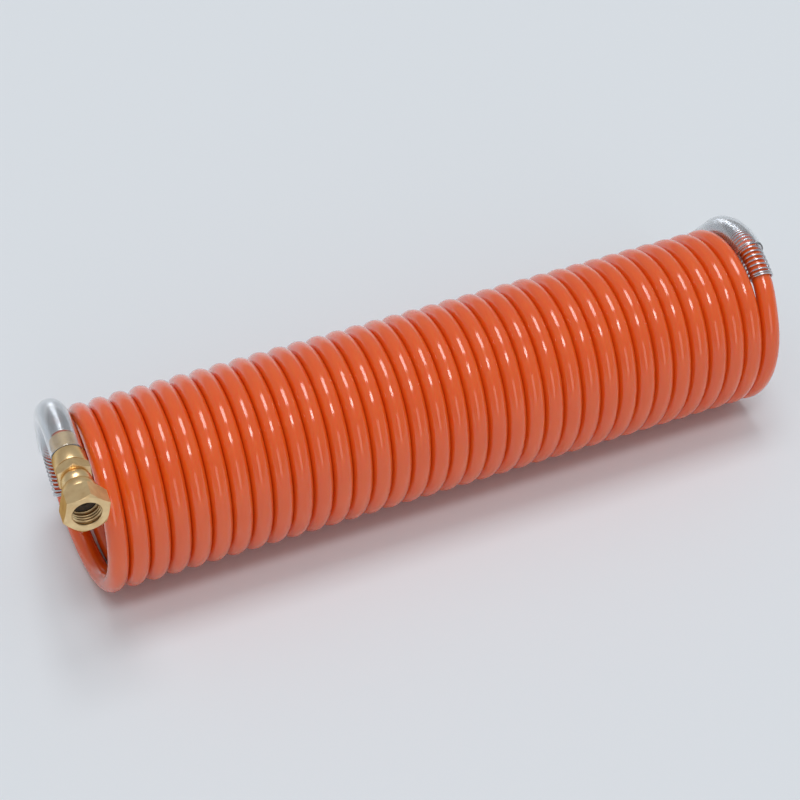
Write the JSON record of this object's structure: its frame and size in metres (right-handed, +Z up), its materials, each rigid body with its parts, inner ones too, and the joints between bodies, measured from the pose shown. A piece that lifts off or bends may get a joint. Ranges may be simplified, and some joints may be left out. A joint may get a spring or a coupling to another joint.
{
  "type": "coiled air hose",
  "caption": "Coiled polyamide compressed-air hose lying on its side, with a brass compression fitting, swivel nut, wire spring guard and clear sleeve on each end.",
  "frame": {"origin": "on the floor under the coil axis, at the middle of the flat under the middle turn", "axes": "+X along the coil axis from the inlet end to the outlet end, +Z up, front at -Y where the inlet fitting points"},
  "size_m": [0.3369, 0.1272, 0.0883],
  "materials": {
    "orange_polyamide": "glossy extruded orange polyamide",
    "brass": "bright turned brass",
    "spring_steel": "bright drawn steel wire",
    "clear_plastic": "clear soft plastic tube",
    "rubber": "moulded black rubber",
    "fibre": "pressed fibre sheet"
  },
  "bodies": {
    "hose_and_inlet": {"hose": "orange_polyamide", "inlet_tube_nut": "brass", "inlet_grip_ring": "brass", "inlet_support_insert": "brass", "inlet_stem": "brass", "inlet_retaining_ring": "spring_steel", "inlet_neck_seal": "rubber", "inlet_face_seal": "fibre", "inlet_clear_sleeve": "clear_plastic", "inlet_spring_guard": "spring_steel"},
    "inlet_nut": {"inlet_swivel_nut": "brass"},
    "outlet_end": {"outlet_tube_nut": "brass", "outlet_grip_ring": "brass", "outlet_support_insert": "brass", "outlet_stem": "brass", "outlet_retaining_ring": "spring_steel", "outlet_neck_seal": "rubber", "outlet_face_seal": "fibre", "outlet_clear_sleeve": "clear_plastic", "outlet_spring_guard": "spring_steel"},
    "outlet_nut": {"outlet_swivel_nut": "brass"}
  },
  "joints": [
    {"name": "inlet_swivel", "type": "hinge", "parent": "hose_and_inlet", "child": "inlet_nut", "pos_m": [-0.15661, -0.0472, 0.07881], "axis": [-0.066, -0.9977, 0.0128], "continuous": true},
    {"name": "coil_stretch", "type": "slide", "parent": "hose_and_inlet", "child": "outlet_end", "axis": [1, 0, 0], "range_m": [0, 4.5], "stiffness_N_per_m": 6, "deforming": ["hose"]},
    {"name": "outlet_swivel", "type": "hinge", "parent": "outlet_end", "child": "outlet_nut", "pos_m": [0.16146, 0.07245, 0.00661], "axis": [0.057, 0.6285, -0.7757], "continuous": true}
  ]
}
